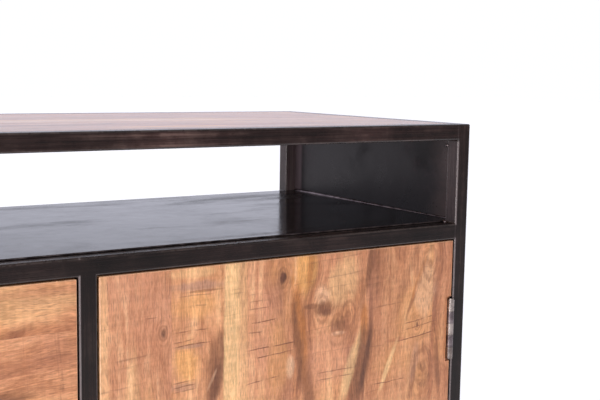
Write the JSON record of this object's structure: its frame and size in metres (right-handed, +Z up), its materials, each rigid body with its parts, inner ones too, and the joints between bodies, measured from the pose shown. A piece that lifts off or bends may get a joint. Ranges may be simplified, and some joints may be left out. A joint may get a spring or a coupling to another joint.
{
  "type": "sideboard buffet",
  "caption": "Industrial sideboard: welded square-tube steel frame, planked wood top, doors and drawers, and an open steel shelf compartment under the top.",
  "frame": {"origin": "on the floor, under the middle of the overall box with its handles", "axes": "+Z up, the doors and drawers face -Y, +X along the length to the right door"},
  "size_m": [1.5, 0.445, 0.8],
  "materials": {
    "frame_steel": "black lacquer over brushed square tube, satin to gloss",
    "sheet_steel": "glossy clear-lacquered dark steel sheet",
    "mango_wood": "rough-sawn planks, sanded and satin lacquered, with saw marks and knots",
    "inner_board": "dark stained board, matt",
    "drawer_wood": "plain sanded softwood and plywood, thin clear coat",
    "hinge_steel": "darkened steel, worn bright on the barrel",
    "handle_steel": "black lacquered square bar",
    "bright_steel": "zinc plated",
    "black_plastic": "moulded, matt"
  },
  "bodies": {
    "carcass": {"front_left_post": "frame_steel", "front_right_post": "frame_steel", "rear_left_post": "frame_steel", "rear_right_post": "frame_steel", "front_top_rail": "frame_steel", "rear_top_rail": "frame_steel", "left_top_rail": "frame_steel", "right_top_rail": "frame_steel", "front_mid_rail": "frame_steel", "rear_mid_rail": "frame_steel", "front_bottom_rail": "frame_steel", "rear_bottom_rail": "frame_steel", "left_bottom_rail": "frame_steel", "right_bottom_rail": "frame_steel", "left_divider": "frame_steel", "right_divider": "frame_steel", "foot_caps": "black_plastic", "cross_bars": "frame_steel", "top_panel": "mango_wood", "display_shelf": "sheet_steel", "left_side_panel": "sheet_steel", "right_side_panel": "sheet_steel", "left_partition": "inner_board", "right_partition": "inner_board", "bottom_panel": "inner_board", "back_panel": "inner_board", "left_inner_shelf": "inner_board", "right_inner_shelf": "inner_board", "inner_shelf_cleats": "frame_steel", "door_catches": "black_plastic", "drawer_runners": "bright_steel", "carcass_screws": "bright_steel", "hinge_post_leaves": "hinge_steel", "hinge_post_screws": "bright_steel"},
    "left_door": {"left_door_panel": "mango_wood", "left_door_battens": "mango_wood", "left_door_handle": "handle_steel", "left_door_screws": "bright_steel", "left_hinge_door_leaves": "hinge_steel", "left_hinge_pins": "hinge_steel", "left_strike_plate": "bright_steel"},
    "right_door": {"right_door_panel": "mango_wood", "right_door_battens": "mango_wood", "right_door_handle": "handle_steel", "right_door_screws": "bright_steel", "right_hinge_door_leaves": "hinge_steel", "right_hinge_pins": "hinge_steel", "right_strike_plate": "bright_steel"},
    "top_drawer": {"top_drawer_front": "mango_wood", "top_drawer_box": "drawer_wood", "top_drawer_handle": "handle_steel", "top_drawer_screws": "bright_steel"},
    "middle_drawer": {"middle_drawer_front": "mango_wood", "middle_drawer_box": "drawer_wood", "middle_drawer_handle": "handle_steel", "middle_drawer_screws": "bright_steel"},
    "bottom_drawer": {"bottom_drawer_front": "mango_wood", "bottom_drawer_box": "drawer_wood", "bottom_drawer_handle": "handle_steel", "bottom_drawer_screws": "bright_steel"}
  },
  "joints": [
    {"name": "right_door_hinge", "type": "hinge", "parent": "carcass", "child": "right_door", "pos_m": [0.7254, -0.194, 0.3865], "axis": [0, 0, 1], "range_deg": [0, 170]},
    {"name": "left_door_hinge", "type": "hinge", "parent": "carcass", "child": "left_door", "pos_m": [-0.7254, -0.194, 0.3865], "axis": [0, 0, -1], "range_deg": [0, 170]},
    {"name": "top_drawer_slide", "type": "slide", "parent": "carcass", "child": "top_drawer", "axis": [0, -1, 0], "range_m": [0, 0.26]},
    {"name": "middle_drawer_slide", "type": "slide", "parent": "carcass", "child": "middle_drawer", "axis": [0, -1, 0], "range_m": [0, 0.26]},
    {"name": "bottom_drawer_slide", "type": "slide", "parent": "carcass", "child": "bottom_drawer", "axis": [0, -1, 0], "range_m": [0, 0.26]}
  ]
}
